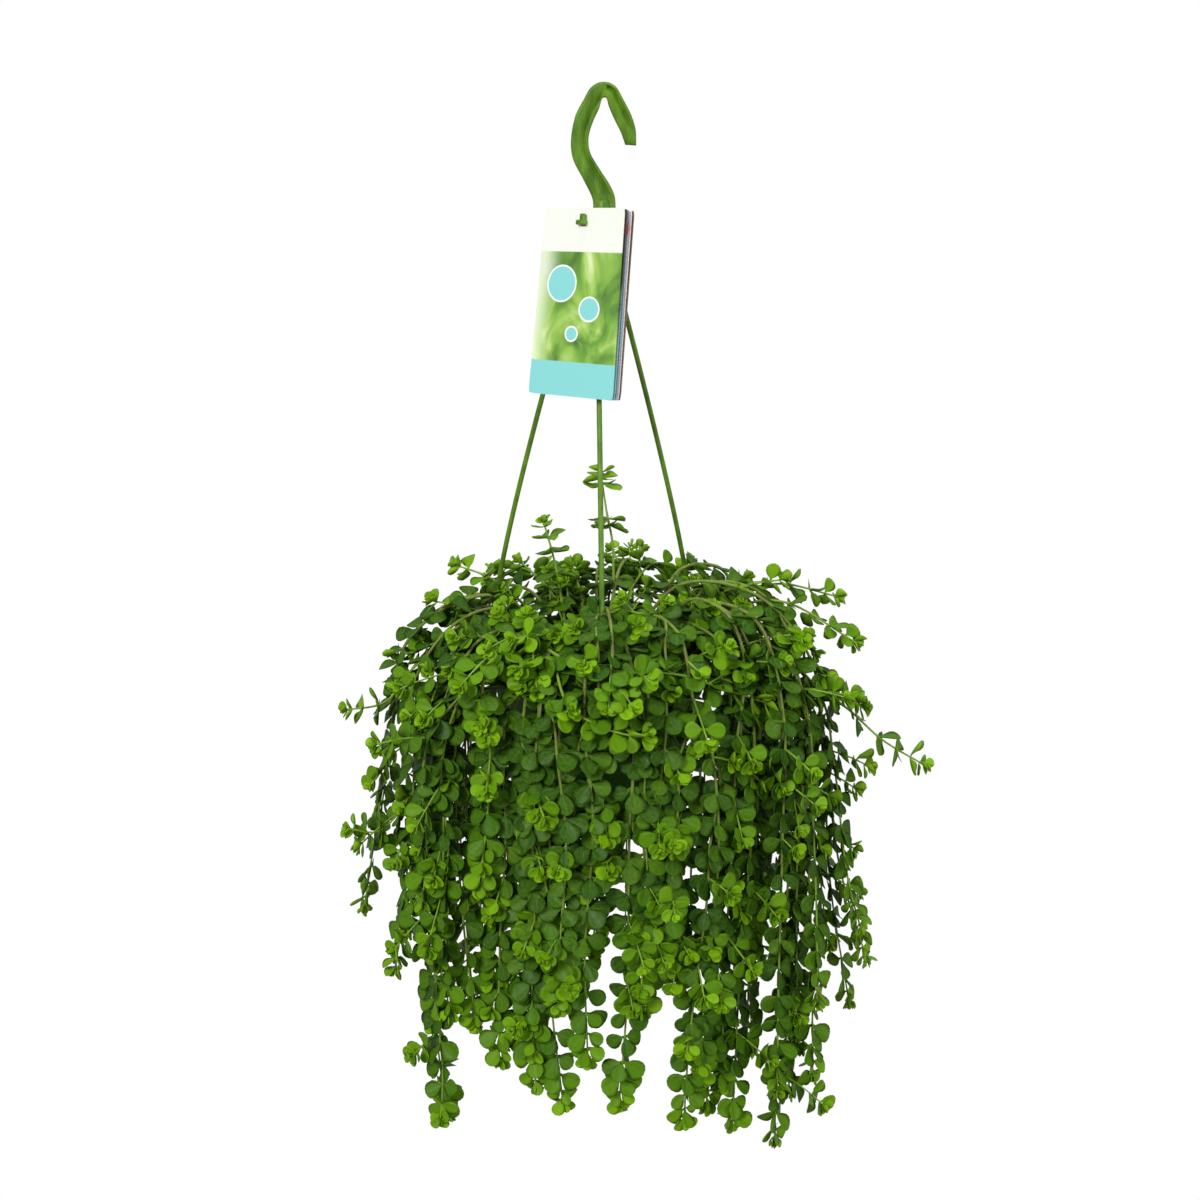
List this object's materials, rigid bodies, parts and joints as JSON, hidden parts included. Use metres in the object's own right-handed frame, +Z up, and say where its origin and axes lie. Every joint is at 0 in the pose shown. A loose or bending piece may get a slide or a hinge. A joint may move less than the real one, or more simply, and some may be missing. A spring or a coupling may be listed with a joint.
{
  "type": "potted trailing peperomia in a hanging pot",
  "caption": "Trailing small-leaved houseplant in a round plastic pot, carried by a three-armed moulded hanger with a hook and a booklet of plain cards.",
  "frame": {"origin": "the point inside the hook's bend that bears on what the plant hangs from", "axes": "+Z up, along the hanging load; -Y is the front, where the booklet's cover faces to the left of the viewer; +X to the viewer's right, the side the hook opens to"},
  "size_m": [0.3988, 0.2695, 0.6965],
  "materials": {
    "hanger_plastic": "satin moulded polypropylene, mid green with faint flow streaks",
    "pot_plastic": "satin moulded polypropylene, green, darker than the hanger",
    "potting_mix": "loose dark potting mix of peat and fine bark",
    "cover_card": "satin printed card, cream above, soft green field, turquoise foot",
    "page_card": "satin printed card, pale",
    "leaf_green": "waxy living leaf, dark green to bright yellow green at the tips, with a pale midrib"
  },
  "bodies": {
    "root": {"hanger": "hanger_plastic", "pot": "pot_plastic", "soil": "potting_mix", "card_front_cover": "cover_card", "card_back_cover": "cover_card", "card_page_1": "page_card", "card_page_2": "page_card", "card_page_3": "page_card", "stem_01": "leaf_green", "stem_02": "leaf_green", "stem_03": "leaf_green", "stem_04": "leaf_green", "stem_05": "leaf_green", "stem_06": "leaf_green", "stem_07": "leaf_green", "stem_08": "leaf_green", "stem_09": "leaf_green", "stem_10": "leaf_green", "stem_11": "leaf_green", "stem_12": "leaf_green", "stem_13": "leaf_green", "stem_14": "leaf_green", "stem_15": "leaf_green", "stem_16": "leaf_green", "stem_17": "leaf_green", "stem_18": "leaf_green", "stem_19": "leaf_green", "stem_20": "leaf_green", "stem_21": "leaf_green", "stem_22": "leaf_green", "stem_23": "leaf_green", "stem_24": "leaf_green", "stem_25": "leaf_green", "stem_26": "leaf_green", "stem_27": "leaf_green", "stem_28": "leaf_green", "stem_29": "leaf_green", "stem_30": "leaf_green", "stem_31": "leaf_green", "stem_32": "leaf_green", "stem_33": "leaf_green", "stem_34": "leaf_green", "stem_35": "leaf_green", "stem_36": "leaf_green", "stem_37": "leaf_green", "stem_38": "leaf_green", "stem_39": "leaf_green", "stem_40": "leaf_green", "stem_41": "leaf_green", "stem_42": "leaf_green", "stem_43": "leaf_green", "stem_44": "leaf_green", "stem_45": "leaf_green", "stem_46": "leaf_green", "stem_47": "leaf_green", "stem_48": "leaf_green", "stem_49": "leaf_green", "stem_50": "leaf_green", "stem_51": "leaf_green", "stem_52": "leaf_green"}
  },
  "joints": []
}
